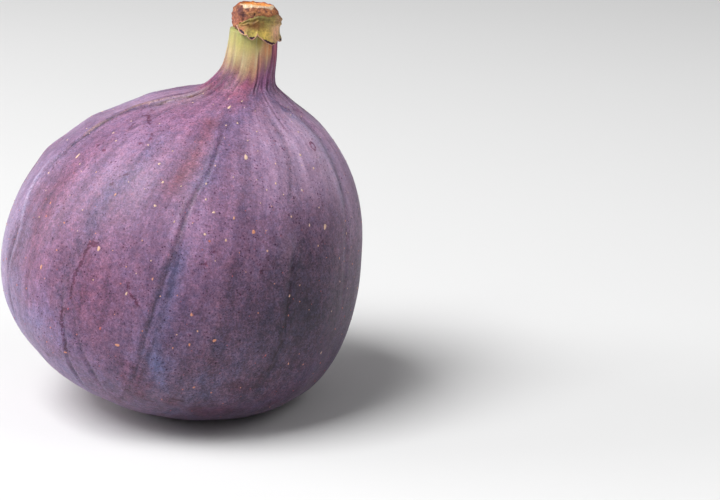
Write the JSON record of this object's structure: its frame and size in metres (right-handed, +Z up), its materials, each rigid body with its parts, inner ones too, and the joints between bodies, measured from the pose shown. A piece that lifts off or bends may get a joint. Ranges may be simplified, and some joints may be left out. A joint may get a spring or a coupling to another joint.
{
  "type": "fresh fig",
  "caption": "Whole fresh purple fig resting on its soft underside, with ribbed skin, a slender green neck, a cut stalk with small bracts, and a closed eye.",
  "frame": {"origin": "centre of the bounding box on the surface the fig rests on", "axes": "+Z up from that surface, along the longest extent; +X towards the side the stalk leans to"},
  "size_m": [0.059, 0.0586, 0.0661],
  "materials": {
    "fig_skin": "purple fruit skin with a dusty bloom, satin",
    "stalk_cork": "rough corky bark with a paler cut face",
    "bract_green": "matte green scale, drying brown at its edge",
    "eye_scale": "matte reddish brown scale"
  },
  "bodies": {
    "root": {"fruit": "fig_skin", "stalk": "stalk_cork", "bract_front": "bract_green", "bract_back": "bract_green", "eye_scale_1": "eye_scale", "eye_scale_2": "eye_scale", "eye_scale_3": "eye_scale", "eye_scale_4": "eye_scale", "eye_scale_5": "eye_scale"}
  },
  "joints": []
}
